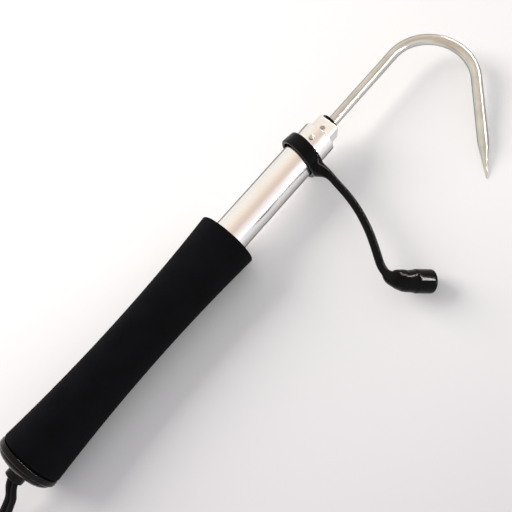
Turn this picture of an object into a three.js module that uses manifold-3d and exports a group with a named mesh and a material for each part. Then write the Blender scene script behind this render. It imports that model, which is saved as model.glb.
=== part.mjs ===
// A telescopic fishing gaff, collapsed and lying on a flat surface.
// Lengths are in millimetres. The pole runs along X with the hook at +X, and Z is up.
import * as THREE from 'three';
import { mergeVertices } from 'three/addons/utils/BufferGeometryUtils.js';
import Module from 'manifold-3d';

const wasm = await Module();
wasm.setup();

// Facets of a full turn on large, middle and small round forms
const LARGE_FACETS = 40;
const MIDDLE_FACETS = 28;
const SMALL_FACETS = 16;

// Fits
const seatGap = 0.2;
const runningGap = 0.3;
const cutOverrun = 1;

// Pole sections, from the outside in
const wall = 0.9;
const lipLength = 3;
const lipRun = 1;
const tubeEdge = 0.3;
const outerRadius = 9.5;
const middleRadius = 7.95;
const innerRadius = 6.4;
const outerBore = outerRadius - wall;
const middleBore = middleRadius - wall;
const innerBore = innerRadius - wall;

// Grip: a waisted foam sleeve, both ends alike
const gripLength = 140;
const gripEndRadius = 16.4;
const gripWaistRadius = 13.8;
const gripCorner = 1.2;
const gripSteps = 12;

// The pole lies on the two ends of its grip
const poleHeight = gripEndRadius;

// Exposed length of the outer tube, and the butt end of the tube and the grip
const tubeExposed = 72.5;
const buttFace = 0;
const tubeStart = buttFace + seatGap;
const gripEnd = tubeStart + gripLength;
const mouth = gripEnd + tubeExposed;

// Butt cap: spigot, flange with a rounded lip, shallow dome and a boss for the lanyard
const capSpigotLength = 18;
const capSpigotRadius = outerBore - seatGap;
const capLipRadius = gripEndRadius;
const capLipWidth = 3.4;
const capLipRound = 1.2;
const capDomeDepth = 7.4;
const capBossLength = 12;
const capBossRadius = 4.9;
const capBossRound = 0.5;
const capHoleRadius = 3.6;
const capCavityRadius = 6.3;
const capFloorDepth = 2.5;
const capDomeSteps = 5;

// Lanyard cord, doubled through the boss, with its stopper knot behind
const cordDiameter = 3;
const cordSides = 8;
const cordSteps = 80;
const knotRadius = 5.7;
const knotLength = 11;

// Stop rivets near the outer tube's mouth
const rivetBack = 6.6;
const rivetRadius = 1.1;
const rivetHeadRadius = 1.6;
const rivetHeadHeight = 0.8;
const rivetDomeShares = [0.85, 0.4];

// Twist locks on the tails of the two sliding sections
const lockFlangeLength = 3.4;
const lockFlangeGap = 0.15;
const lockSpigotLength = 13;
const camLength = 9.6;
const camThrow = 1;
const camBoreGap = 0.45;
const camSlit = 2;
const camTeeth = 16;
const camToothDepth = 0.35;
const camToothShares = [[0, 1], [0.2, 0], [0.55, 0], [0.75, 1]];
const middleJournalRadius = 4.5;
const innerJournalRadius = 3.3;
const lockScrewRadius = 1.5;
const lockScrewLength = 8;
const lockHeadLength = 2.6;
const lockSocketDepth = 1.4;
const lockSocketShare = 0.5;
const tailClearance = 3;

// Hook block: a square head on a round spigot, pinned in the inner tube
const blockSide = 12.2;
const blockProud = 7.9;
const blockBuried = 6.5;
const blockEdge = 0.5;
const blockSpigotLength = 14;
const pinRadius = 1.2;
const pinInset = 5.5;
const pinRecess = 0.2;
const grubRadius = 1.35;
const grubSocketRadius = 0.75;
const grubSocketDepth = 1.2;
const grubRecess = 0.25;
const grubFromMouth = 2.2;

// Hook: a round rod bent in one plane, with a ground point
const rodRadius = 2.85;
const rodInBlock = 24;
const shankClear = 55;
const bendRadius = 24.4;
const bendTurn = THREE.MathUtils.degToRad(139.5);
const legLength = 57.8;
const pointLength = 21;
const pointTipRadius = 0.25;
const pointShoulderShare = 0.1;
const pointShoulderRadiusShare = 0.94;
const bendSteps = 28;

// Washer that rides askew on the hook's shank
const washerRadius = 5.6;
const washerThickness = 0.9;
const washerTilt = THREE.MathUtils.degToRad(18);
const washerAhead = 2.7;

// Point guard: ring on the outer tube, strap, and the cap that goes over the point
const ringWidth = 7.6;
const ringSlack = 0.9;
const ringWall = 2.1;
const ringCorner = 0.9;
const ringTilt = THREE.MathUtils.degToRad(8);
const ringFromMouth = 13.6;
const strapWidth = 4.2;
const strapThickness = 3.4;
const strapSquareness = 0.75;
const strapReach = 62.2;
const strapSweep = 25.4;
const strapDrop = 1.4;
const strapRootBack = 1.7;
const strapRootWidth = 8.4;
const strapRootThickness = 12.5;
const strapRootLength = 11;
const strapHeelLength = 10;
const strapSteps = 36;
const guardCapRadius = 5.85;
const guardCapNeckRadius = 5.5;
const guardCapHeelRadius = 4.6;
const guardCapLength = 21.5;
const guardCapMouthLength = 9.6;
const guardCapHeelLength = 4.2;
const guardCapHeelRun = 2.1;
const guardCapHeelShare = 0.74;
const guardCapSwell = 5.1;
const guardCapCorner = 0.9;
const guardCapBoreRadius = 3.6;
const guardCapBoreDepth = 16;
const guardCapYaw = THREE.MathUtils.degToRad(-42);
const guardCapPitch = THREE.MathUtils.degToRad(27.6);
const heelBack = 1.7;
const heelOut = 4.6;

// Finishes
const polishedAluminium = { color: 0xdcdad8, roughness: 0.24, metalness: 1 };
const satinAluminium = { color: 0xd6d0cb, roughness: 0.4, metalness: 1 };
const stainless = { color: 0xb9b3a8, roughness: 0.16, metalness: 1 };
const blackFoam = { color: 0x16171b, roughness: 0.95, metalness: 0 };
const glossBlack = { color: 0x0d0d10, roughness: 0.22, metalness: 0 };
const blackNylon = { color: 0x18181a, roughness: 0.55, metalness: 0 };
const blackCord = { color: 0x121214, roughness: 0.9, metalness: 0 };
const zincSteel = { color: 0xc4c6c8, roughness: 0.35, metalness: 1 };

// Solids: a mesh with its normals dropped and its corners shared, ready to cut and join
function toSolid(geometry) {
  const bare = geometry.clone();
  bare.deleteAttribute('normal');
  bare.deleteAttribute('uv');
  const merged = mergeVertices(bare, 1e-5);
  return new wasm.Manifold(new wasm.Mesh({
    numProp: 3,
    vertProperties: new Float32Array(merged.attributes.position.array),
    triVerts: new Uint32Array(merged.index.array),
  }));
}

function toGeometry(solid) {
  const mesh = solid.getMesh();
  const geometry = new THREE.BufferGeometry();
  geometry.setAttribute('position', new THREE.BufferAttribute(mesh.vertProperties, 3));
  geometry.setIndex(new THREE.BufferAttribute(mesh.triVerts, 1));
  geometry.computeVertexNormals();
  return geometry;
}

function cut(geometry, ...tools) {
  const body = tools.reduce((solid, tool) => solid.subtract(toSolid(tool)), toSolid(geometry));
  return toGeometry(body);
}

function join(...geometries) {
  const [first, ...rest] = geometries.map(toSolid);
  return toGeometry(rest.reduce((solid, other) => solid.add(other), first));
}

// A solid of revolution about X from a profile of [x, radius] points
function revolve(profile, facets = LARGE_FACETS) {
  const points = profile.map(([x, radius]) => new THREE.Vector2(radius, x));
  return new THREE.LatheGeometry(points, facets).rotateZ(-Math.PI / 2);
}

// A closed ring of revolution: the profile comes back to its first point
function revolveRing(profile, facets = LARGE_FACETS) {
  return revolve([...profile, profile[0]], facets);
}

// A solid bar along X, from one place to another
function bar(from, to, radius, facets = MIDDLE_FACETS) {
  return revolve([[from, 0], [from, radius], [to, radius], [to, 0]], facets);
}

// A quarter round between two points of a profile, the corner lying off the material
function quarterRound(centre, radius, startAngle, endAngle, steps = 4) {
  const points = [];
  for (let i = 0; i <= steps; i += 1) {
    const angle = startAngle + (endAngle - startAngle) * (i / steps);
    points.push([centre[0] + radius * Math.cos(angle), centre[1] + radius * Math.sin(angle)]);
  }
  return points;
}

// A closed skin over a row of rings that hold the same number of points
function loft(rings) {
  const sides = rings[0].length;
  const last = (rings.length - 1) * sides;
  const positions = rings.flat().flatMap((point) => [point.x, point.y, point.z]);
  const faces = [];
  for (let ring = 0; ring < rings.length - 1; ring += 1) {
    for (let side = 0; side < sides; side += 1) {
      const a = ring * sides + side;
      const b = ring * sides + ((side + 1) % sides);
      faces.push(a, b, b + sides, a, b + sides, a + sides);
    }
  }
  for (let side = 1; side < sides - 1; side += 1) {
    faces.push(0, side + 1, side);
    faces.push(last, last + side, last + side + 1);
  }
  const geometry = new THREE.BufferGeometry();
  geometry.setAttribute('position', new THREE.Float32BufferAttribute(positions, 3));
  geometry.setIndex(faces);
  return geometry;
}

// A rounded section, between an ellipse and a rectangle
function roundedSection(width, height, sides, squareness) {
  const points = [];
  for (let side = 0; side < sides; side += 1) {
    const angle = (side / sides) * 2 * Math.PI;
    const reach = (value) => Math.sign(value) * Math.abs(value) ** squareness;
    points.push([(width / 2) * reach(Math.cos(angle)), (height / 2) * reach(Math.sin(angle))]);
  }
  return points;
}

// A section carried along a curve that never stands upright, its size set at each step
function sweep(curve, steps, sectionAt) {
  const rings = [];
  for (let step = 0; step <= steps; step += 1) {
    const centre = curve.getPointAt(step / steps);
    const forward = curve.getTangentAt(step / steps);
    const side = new THREE.Vector3(0, 0, 1).cross(forward).normalize();
    const up = forward.clone().cross(side);
    rings.push(sectionAt(step / steps).map(([across, rise]) => centre.clone()
      .addScaledVector(side, across)
      .addScaledVector(up, rise)));
  }
  return loft(rings);
}

function part(name, geometry, finish) {
  const mesh = new THREE.Mesh(geometry, new THREE.MeshStandardMaterial(finish));
  mesh.name = name;
  return mesh;
}

// A tube of the pole: a plain wall, with its mouth rolled in to guide the next section
function poleTube(from, to, radius, lipRadius) {
  const bore = radius - wall;
  return revolveRing([
    [from, bore], [from, radius - tubeEdge], [from + tubeEdge, radius],
    [to - tubeEdge, radius], [to, radius - tubeEdge],
    [to, lipRadius], [to - lipLength, lipRadius], [to - lipLength - lipRun, bore],
  ]);
}

// Places along the pole that several pieces share
const rivetPlace = mouth - rivetBack;
const blockEnd = mouth + blockProud;
const blockBack = mouth - blockBuried;
const innerTubeEnd = blockBack - seatGap;
const middleTubeEnd = innerTubeEnd - seatGap;
const middleLockTail = capSpigotLength + buttFace + tailClearance;

// Lengths of a twist lock along the pole, from its screw head to its tube
function lockPlaces(tail) {
  const camStart = tail + lockHeadLength + runningGap;
  const camEnd = camStart + camLength;
  const flangeStart = camEnd + runningGap;
  const flangeEnd = flangeStart + lockFlangeLength;
  return { tail, camStart, camEnd, flangeStart, flangeEnd, tubeStart: flangeEnd + seatGap };
}

const middleLock = lockPlaces(middleLockTail);
const innerLock = lockPlaces(middleLock.flangeEnd + lockSpigotLength + tailClearance);

// The fixed plug of a lock: spigot in the tube, flange, and an eccentric journal
function lockPlug(places, boreAround, tubeBore, journalRadius) {
  const flange = bar(places.flangeStart, places.flangeEnd, boreAround - lockFlangeGap);
  const spigotEnd = places.flangeEnd + lockSpigotLength;
  const spigot = revolve([
    [places.flangeEnd - seatGap, 0], [places.flangeEnd - seatGap, tubeBore - seatGap],
    [spigotEnd - tubeEdge, tubeBore - seatGap], [spigotEnd, tubeBore - seatGap - tubeEdge], [spigotEnd, 0],
  ], MIDDLE_FACETS);
  const journalStart = places.camStart - runningGap + seatGap;
  const journal = bar(journalStart, places.flangeStart + seatGap, journalRadius);
  journal.translate(0, 0, camThrow);
  const screwHole = bar(journalStart - cutOverrun, places.tail + lockHeadLength + lockScrewLength + seatGap,
    lockScrewRadius + seatGap, SMALL_FACETS);
  screwHole.translate(0, 0, camThrow);
  return cut(join(flange, spigot, journal), screwHole);
}

// The cam ring: toothed outside on the pole's axis, bored about the journal, slit to spring
function lockCam(places, boreAround, journalRadius) {
  const rim = boreAround - runningGap;
  const outline = new THREE.Shape();
  for (let tooth = 0; tooth < camTeeth; tooth += 1) {
    const pitch = (2 * Math.PI) / camTeeth;
    const start = tooth * pitch;
    camToothShares.forEach(([share, depthShare], index) => {
      const radius = rim - depthShare * camToothDepth;
      const angle = start + share * pitch;
      const move = tooth === 0 && index === 0 ? 'moveTo' : 'lineTo';
      outline[move](radius * Math.cos(angle), radius * Math.sin(angle));
    });
  }
  outline.closePath();
  const ring = new THREE.ExtrudeGeometry(outline, { depth: camLength, bevelEnabled: false });
  ring.rotateY(Math.PI / 2).translate(places.camStart, 0, 0);
  const bore = bar(places.camStart - cutOverrun, places.camEnd + cutOverrun, journalRadius + camBoreGap);
  bore.translate(0, 0, camThrow);
  const slit = new THREE.BoxGeometry(camLength + 2 * cutOverrun, camSlit, rim + cutOverrun);
  slit.translate((places.camStart + places.camEnd) / 2, 0, camThrow - (rim + cutOverrun) / 2);
  return cut(ring, bore, slit);
}

// The screw that keeps the cam ring on its journal
function lockScrew(places, journalRadius) {
  const headRadius = journalRadius + camThrow;
  const shank = bar(places.tail + lockHeadLength - seatGap,
    places.tail + lockHeadLength + lockScrewLength, lockScrewRadius, SMALL_FACETS);
  const head = revolve([
    [places.tail, 0], [places.tail, headRadius - tubeEdge], [places.tail + tubeEdge, headRadius],
    [places.tail + lockHeadLength, headRadius], [places.tail + lockHeadLength, 0],
  ], MIDDLE_FACETS);
  const socket = bar(places.tail - cutOverrun, places.tail + lockSocketDepth,
    headRadius * lockSocketShare, 6);
  return cut(join(head, shank), socket).translate(0, 0, camThrow);
}

// The outer tube, with the rivet holes drilled square to the hook's plane
function outerTube(roll) {
  const tube = poleTube(tubeStart, mouth, outerRadius, middleRadius + runningGap);
  const drill = bar(-outerRadius - cutOverrun, outerRadius + cutOverrun, rivetRadius + seatGap, SMALL_FACETS);
  drill.rotateY(Math.PI / 2).translate(rivetPlace, 0, 0).rotateX(roll);
  return cut(tube, drill);
}

// The foam grip: ends at full radius, drawn in along a parabola to the waist
function foamGrip() {
  const bore = outerRadius + seatGap;
  const half = gripLength / 2;
  const centre = tubeStart + half;
  const radiusAt = (x) => gripWaistRadius + (gripEndRadius - gripWaistRadius) * ((x - centre) / half) ** 2;
  const inner = half - gripCorner;
  const profile = [[tubeStart, bore]];
  profile.push(...quarterRound([tubeStart + gripCorner, gripEndRadius - gripCorner], gripCorner,
    Math.PI, Math.PI / 2));
  for (let step = 1; step < gripSteps; step += 1) {
    const x = centre - inner + 2 * inner * (step / gripSteps);
    profile.push([x, radiusAt(x)]);
  }
  profile.push(...quarterRound([gripEnd - gripCorner, gripEndRadius - gripCorner], gripCorner,
    Math.PI / 2, 0));
  profile.push([gripEnd, bore]);
  return revolveRing(profile);
}

// The butt cap: one moulding, hollow for the knot, bored through its boss for the cord
function buttCap() {
  const lipBack = buttFace - capLipWidth;
  const domeRim = capLipRadius - capLipRound;
  const bossEnd = buttFace - capBossLength;
  const dome = [];
  for (let step = 0; step < capDomeSteps; step += 1) {
    const angle = (Math.PI / 2) * (1 - step / capDomeSteps);
    dome.push([lipBack - (capDomeDepth - capLipWidth) * Math.sin(angle),
      capBossRadius + (domeRim - capBossRadius) * Math.cos(angle)]);
  }
  return revolveRing([
    [buttFace - capFloorDepth, capCavityRadius],
    [buttFace - capFloorDepth, capHoleRadius],
    [bossEnd, capHoleRadius],
    ...quarterRound([bossEnd + capBossRound, capBossRadius - capBossRound], capBossRound, Math.PI, Math.PI / 2),
    ...dome,
    ...quarterRound([lipBack + capLipRound, domeRim], capLipRound, Math.PI, Math.PI / 2),
    [buttFace - tubeEdge, capLipRadius], [buttFace, capLipRadius - tubeEdge],
    [buttFace, capSpigotRadius],
    [capSpigotLength - tubeEdge, capSpigotRadius], [capSpigotLength, capSpigotRadius - tubeEdge],
    [capSpigotLength, capCavityRadius],
  ]);
}

// The stopper knot, drawn up tight against the floor of the cap
function lanyardKnot() {
  const knot = new THREE.SphereGeometry(1, MIDDLE_FACETS, SMALL_FACETS);
  knot.scale(knotLength / 2, knotRadius, knotRadius);
  return knot.translate(buttFace - capFloorDepth + runningGap + knotLength / 2, 0, 0);
}

// A rivet with a low domed head, its tail just inside the bore as a stop
function stopRivet() {
  const tail = middleRadius + runningGap;
  const headBase = outerRadius + seatGap;
  const headTop = headBase + rivetHeadHeight;
  return revolve([
    [tail, 0], [tail, rivetRadius], [headBase, rivetRadius], [headBase, rivetHeadRadius],
    [headBase + rivetHeadHeight / 2, rivetHeadRadius * rivetDomeShares[0]],
    [headTop, rivetHeadRadius * rivetDomeShares[1]], [headTop, 0],
  ], SMALL_FACETS).rotateY(-Math.PI / 2);
}

// The hook block: a square head with rounded corners, and its spigot
function hookBlock() {
  const half = blockSide / 2;
  const bore = rodRadius + seatGap;
  const cornerLimit = middleRadius;
  const corner = (half * Math.SQRT2 - cornerLimit) / (Math.SQRT2 - 1);
  const outline = new THREE.Shape();
  outline.moveTo(half, corner - half);
  outline.lineTo(half, half - corner);
  outline.absarc(half - corner, half - corner, corner, 0, Math.PI / 2);
  outline.lineTo(corner - half, half);
  outline.absarc(corner - half, half - corner, corner, Math.PI / 2, Math.PI);
  outline.lineTo(-half, corner - half);
  outline.absarc(corner - half, corner - half, corner, Math.PI, 1.5 * Math.PI);
  outline.lineTo(half - corner, -half);
  outline.absarc(half - corner, corner - half, corner, 1.5 * Math.PI, 2 * Math.PI);
  const head = new THREE.ExtrudeGeometry(outline, {
    depth: blockEnd - blockBack - 2 * blockEdge, curveSegments: 4,
    bevelEnabled: true, bevelSize: blockEdge, bevelThickness: blockEdge, bevelOffset: -blockEdge,
    bevelSegments: 1,
  });
  head.rotateY(Math.PI / 2).translate(blockBack + blockEdge, 0, 0);
  const spigot = bar(blockBack - blockSpigotLength, blockBack + blockEdge, innerBore - seatGap);
  const shankHole = bar(blockEnd - rodInBlock - seatGap, blockEnd + cutOverrun, bore);
  return cut(join(head, spigot), shankHole, pinDrill(), grubDrill());
}

// Where the cross pin goes through tube, spigot and shank
const pinPlace = innerTubeEnd - pinInset;

function pinDrill() {
  const drill = bar(-outerRadius, outerRadius, pinRadius + seatGap, SMALL_FACETS);
  return drill.rotateZ(Math.PI / 2).translate(pinPlace, 0, 0);
}

function grubDrill() {
  const drill = bar(0, outerRadius, grubRadius + seatGap / 2, SMALL_FACETS);
  return drill.rotateY(-Math.PI / 2).translate(mouth + grubFromMouth, 0, 0);
}

function innerTube() {
  return cut(poleTube(innerLock.tubeStart, innerTubeEnd, innerRadius, innerBore), pinDrill());
}

function blockPin() {
  const half = innerRadius - pinRecess;
  return bar(-half, half, pinRadius, SMALL_FACETS).rotateZ(Math.PI / 2).translate(pinPlace, 0, 0);
}

// The grub screw that bears on the shank, with a hexagon socket
function grubScrew() {
  const top = blockSide / 2 - grubRecess;
  const body = bar(rodRadius + seatGap, top, grubRadius, SMALL_FACETS);
  const socket = bar(top - grubSocketDepth, top + cutOverrun, grubSocketRadius, 6);
  return cut(body, socket).rotateY(-Math.PI / 2).translate(mouth + grubFromMouth, 0, 0);
}

// The hook's centreline in its own plane: shank, bend and leg, as stations with a radius
function hookStations() {
  const shankStart = blockEnd - rodInBlock;
  const bendStart = blockEnd + shankClear;
  const stations = [];
  const add = (x, out, angle, radius) => stations.push({ x, out, angle, radius });
  add(shankStart, 0, 0, rodRadius - tubeEdge);
  add(shankStart + tubeEdge, 0, 0, rodRadius);
  for (let step = 0; step <= bendSteps; step += 1) {
    const angle = bendTurn * (step / bendSteps);
    add(bendStart + bendRadius * Math.sin(angle), bendRadius * (1 - Math.cos(angle)), angle, rodRadius);
  }
  const bendEnd = stations[stations.length - 1];
  const along = (distance, radius) => add(bendEnd.x + distance * Math.cos(bendTurn),
    bendEnd.out + distance * Math.sin(bendTurn), bendTurn, radius);
  const grindStart = legLength - pointLength;
  along(grindStart, rodRadius);
  along(grindStart + pointLength * pointShoulderShare, rodRadius * pointShoulderRadiusShare);
  along(legLength, pointTipRadius);
  return stations;
}

const hookPath = hookStations();

// The hook is rolled about the pole until its point lies on the surface
const hookRoll = Math.min(...hookPath
  .filter(({ out }) => out > poleHeight)
  .map(({ out, radius }) => Math.asin((poleHeight - radius) / out)));

function gaffHook() {
  const rings = hookPath.map(({ x, out, angle, radius }) => {
    const normal = new THREE.Vector3(Math.sin(angle), Math.cos(angle), 0);
    const centre = new THREE.Vector3(x, -out, 0);
    return roundedSection(2 * radius, 2 * radius, SMALL_FACETS, 1).map(([across, up]) => centre.clone()
      .addScaledVector(normal, across).add(new THREE.Vector3(0, 0, up)));
  });
  return cut(loft(rings), pinDrill());
}

// The washer stands askew, so its bore clears the shank at that tilt
function hookWasher() {
  const half = washerThickness / 2;
  const bore = rodRadius / Math.cos(washerTilt) + half * Math.tan(washerTilt) + seatGap;
  const edge = washerThickness / 4;
  const ring = revolveRing([
    [-half, bore], [-half, washerRadius - edge], [edge - half, washerRadius],
    [half - edge, washerRadius], [half, washerRadius - edge], [half, bore],
  ], MIDDLE_FACETS);
  return ring.rotateZ(-washerTilt).translate(blockEnd + washerAhead, 0, 0);
}

// The strap's route as shares of its sweep back along the pole, its reach out and its drop
const strapRouteShares = [
  [0, 0, 0], [-0.012, 0.105, 0.07], [0.059, 0.232, 0.21], [0.15, 0.37, 0.36], [0.26, 0.492, 0.43],
  [0.386, 0.6, 0.57], [0.524, 0.698, 0.64], [0.673, 0.788, 0.71], [0.827, 0.873, 0.79],
  [0.902, 0.915, 0.86], [0.961, 0.957, 0.93], [1, 1, 1],
];

// Its way on round the heel, in the cap's own axes and as shares of the cap's heel radius
const heelRouteShares = [[0, 0.52, -0.13], [0.54, 0.2, 0.1], [0.98, 0.12, 0.06], [1.41, 0.06, 0.03]];

const ringBoreRadius = outerRadius + ringSlack;
const ringOuterRadius = ringBoreRadius + ringWall;
const ringPlace = mouth - ringFromMouth;
const strapStart = new THREE.Vector3(ringPlace - strapRootBack, -(ringBoreRadius + ringOuterRadius) / 2, 0);
const strapEnd = new THREE.Vector3(strapStart.x - strapSweep, strapStart.y - strapReach, -strapDrop);
const guardHeel = new THREE.Vector3(strapEnd.x - heelBack, strapEnd.y - heelOut, strapEnd.z);
const guardTurn = new THREE.Matrix4()
  .makeRotationFromEuler(new THREE.Euler(0, guardCapPitch, guardCapYaw, 'ZYX'))
  .setPosition(guardHeel);

function guardRing() {
  const half = ringWidth / 2;
  const profile = [[-half, ringBoreRadius]];
  profile.push(...quarterRound([ringCorner - half, ringOuterRadius - ringCorner], ringCorner,
    Math.PI, Math.PI / 2, 3));
  profile.push(...quarterRound([half - ringCorner, ringOuterRadius - ringCorner], ringCorner,
    Math.PI / 2, 0, 3));
  profile.push([half, ringBoreRadius]);
  return revolveRing(profile).rotateZ(-ringTilt).translate(ringPlace, 0, 0);
}

// The strap flares from the ring's wall, and swells again round the heel into the cap
function guardStrap() {
  const route = strapRouteShares.map(([back, out, down]) => new THREE.Vector3(
    strapStart.x - back * strapSweep, strapStart.y - out * strapReach, -down * strapDrop));
  heelRouteShares.forEach((place) => route.push(
    new THREE.Vector3(...place).multiplyScalar(guardCapHeelRadius).applyMatrix4(guardTurn)));
  const curve = new THREE.CatmullRomCurve3(route, false, 'centripetal');
  const length = curve.getLength();
  const blend = (from, to, share) => from + (to - from) * share;
  return sweep(curve, strapSteps, (share) => {
    const root = Math.max(0, 1 - (share * length) / strapRootLength) ** 2;
    const fromHeel = Math.min(1, ((1 - share) * length) / strapHeelLength);
    const heel = Math.cos((Math.PI / 2) * fromHeel);
    const width = blend(blend(strapWidth, strapRootWidth, root), 2 * guardCapSwell, heel);
    const thickness = blend(blend(strapThickness, strapRootThickness, root), 2 * guardCapSwell, heel);
    return roundedSection(width, thickness, SMALL_FACETS, blend(strapSquareness, 1, heel));
  });
}

function guardCap() {
  const neckEnd = guardCapLength - guardCapMouthLength;
  const step = guardCapRadius - guardCapNeckRadius;
  return revolve([
    [guardCapHeelLength, 0], [guardCapHeelLength + tubeEdge, guardCapHeelRadius * guardCapHeelShare],
    [guardCapHeelLength + guardCapHeelRun, guardCapHeelRadius],
    [(guardCapHeelLength + neckEnd) / 2, guardCapSwell],
    [neckEnd - 2 * step, guardCapNeckRadius], [neckEnd - step, guardCapNeckRadius],
    [neckEnd, guardCapRadius],
    ...quarterRound([guardCapLength - guardCapCorner, guardCapRadius - guardCapCorner], guardCapCorner,
      Math.PI / 2, 0),
    [guardCapLength, 0],
  ], MIDDLE_FACETS).applyMatrix4(guardTurn);
}

function guardCapBore() {
  const floor = guardCapLength - guardCapBoreDepth;
  return revolve([
    [floor, 0], [floor + guardCapBoreRadius, guardCapBoreRadius],
    [guardCapLength + cutOverrun, guardCapBoreRadius], [guardCapLength + cutOverrun, 0],
  ], SMALL_FACETS).applyMatrix4(guardTurn);
}

// The guard is one rubber moulding: ring, strap and cap joined, then bored at both ends
function pointGuard() {
  const half = ringOuterRadius;
  const ringBore = bar(-half, half, ringBoreRadius, LARGE_FACETS).rotateZ(-ringTilt).translate(ringPlace, 0, 0);
  return cut(join(guardRing(), guardStrap(), guardCap()), ringBore, guardCapBore());
}

// The lanyard's route from one strand's end behind the boss round the wrist loop and back,
// as places from the butt face and the pole's axis along X and Y, and above the surface in Z
const lanyardRoute = [
  [-2.9, 1.72, 16.4], [-7, 1.72, 16.4], [-11.5, 1.64, 16.3], [-15.4, 0.35, 15], [-19.5, -1.8, 12.2],
  [-24.2, -2.3, 9.3], [-29.2, -2.5, 6.6], [-36, -3, 3.6], [-45.5, -5.2, 2], [-59.9, -8.6, 1.7],
  [-76.3, -16, 1.7], [-91.5, -27.3, 1.7], [-102.6, -43.1, 1.7], [-107.3, -62.3, 1.7],
  [-103.8, -82.1, 1.7], [-91.5, -97.3, 1.7], [-73.3, -104.7, 1.7], [-55.2, -101.8, 1.7],
  [-41.8, -91.1, 1.7], [-34.1, -75.8, 1.7], [-31.2, -59.5, 1.7], [-31.8, -43.6, 1.7],
  [-34.8, -28, 1.7], [-36.6, -19, 1.8], [-34.8, -12.2, 3], [-31.4, -8.2, 5], [-27.4, -6.3, 7.4],
  [-23.5, -5.6, 9.7], [-19.2, -5, 12.2], [-15.2, -3.1, 15], [-11.5, -1.78, 16.3], [-7, -1.72, 16.4],
  [-2.9, -1.72, 16.4],
];

function lanyard() {
  const points = lanyardRoute.map(([x, y, z]) => new THREE.Vector3(x, y, z));
  const outline = new THREE.Shape();
  for (let side = 0; side < cordSides; side += 1) {
    const angle = ((side + 0.5) / cordSides) * 2 * Math.PI;
    const move = side === 0 ? 'moveTo' : 'lineTo';
    outline[move]((cordDiameter / 2) * Math.cos(angle), (cordDiameter / 2) * Math.sin(angle));
  }
  outline.closePath();
  return new THREE.ExtrudeGeometry(outline, {
    steps: cordSteps, bevelEnabled: false,
    extrudePath: new THREE.CatmullRomCurve3(points, false, 'centripetal'),
  });
}

// The handle: tube, grip, butt cap and stop rivets on the pole's axis
const handle = new THREE.Group();
handle.add(part('outer_tube', outerTube(hookRoll), polishedAluminium));
handle.add(part('foam_grip', foamGrip(), blackFoam));
handle.add(part('butt_cap', buttCap(), glossBlack));
handle.add(part('lanyard_knot', lanyardKnot(), blackCord));
['stop_rivet_upper', 'stop_rivet_lower'].forEach((name, side) => {
  const rivet = part(name, stopRivet(), zincSteel);
  rivet.position.x = rivetPlace;
  rivet.rotation.x = hookRoll + side * Math.PI;
  handle.add(rivet);
});

// The middle section, which slides in the outer tube
const middleSection = new THREE.Group();
const middleTube = poleTube(middleLock.tubeStart, middleTubeEnd, middleRadius, innerRadius + runningGap);
middleSection.add(part('middle_tube', middleTube, satinAluminium));
middleSection.add(part('middle_lock_plug',
  lockPlug(middleLock, outerBore, middleBore, middleJournalRadius), blackNylon));
middleSection.add(part('middle_lock_cam', lockCam(middleLock, outerBore, middleJournalRadius), blackNylon));
middleSection.add(part('middle_lock_screw', lockScrew(middleLock, middleJournalRadius), zincSteel));

// The inner section, which slides in the middle tube and carries the hook
const innerSection = new THREE.Group();
innerSection.add(part('inner_tube', innerTube(), satinAluminium));
innerSection.add(part('inner_lock_plug',
  lockPlug(innerLock, middleBore, innerBore, innerJournalRadius), blackNylon));
innerSection.add(part('inner_lock_cam', lockCam(innerLock, middleBore, innerJournalRadius), blackNylon));
innerSection.add(part('inner_lock_screw', lockScrew(innerLock, innerJournalRadius), zincSteel));
innerSection.add(part('hook_block', hookBlock(), satinAluminium));
innerSection.add(part('block_pin', blockPin(), zincSteel));
innerSection.add(part('grub_screw', grubScrew(), zincSteel));
innerSection.add(part('hook', gaffHook(), stainless));
innerSection.add(part('hook_washer', hookWasher(), blackNylon));
innerSection.rotation.x = hookRoll;

const pole = new THREE.Group();
pole.add(handle, middleSection, innerSection);
pole.add(part('point_guard', pointGuard(), glossBlack));
pole.position.z = poleHeight;

const gaff = new THREE.Group();
gaff.add(pole);

// The origin is under the middle of the gaff, without its cord
gaff.updateMatrixWorld(true);
const extent = new THREE.Box3();
pole.traverse((object) => {
  if (object.isMesh && object.name !== 'lanyard_knot') {
    extent.union(new THREE.Box3().setFromObject(object, true));
  }
});
const middle = extent.getCenter(new THREE.Vector3());
gaff.add(part('lanyard', lanyard(), blackCord));
gaff.position.set(-middle.x, -middle.y, -extent.min.z);

const group = new THREE.Group();
group.name = 'fishing_gaff';
group.add(gaff);
group.updateMatrixWorld(true);

export default group;
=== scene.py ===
import math

import bmesh
import bpy
from mathutils import Matrix, Vector


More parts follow.
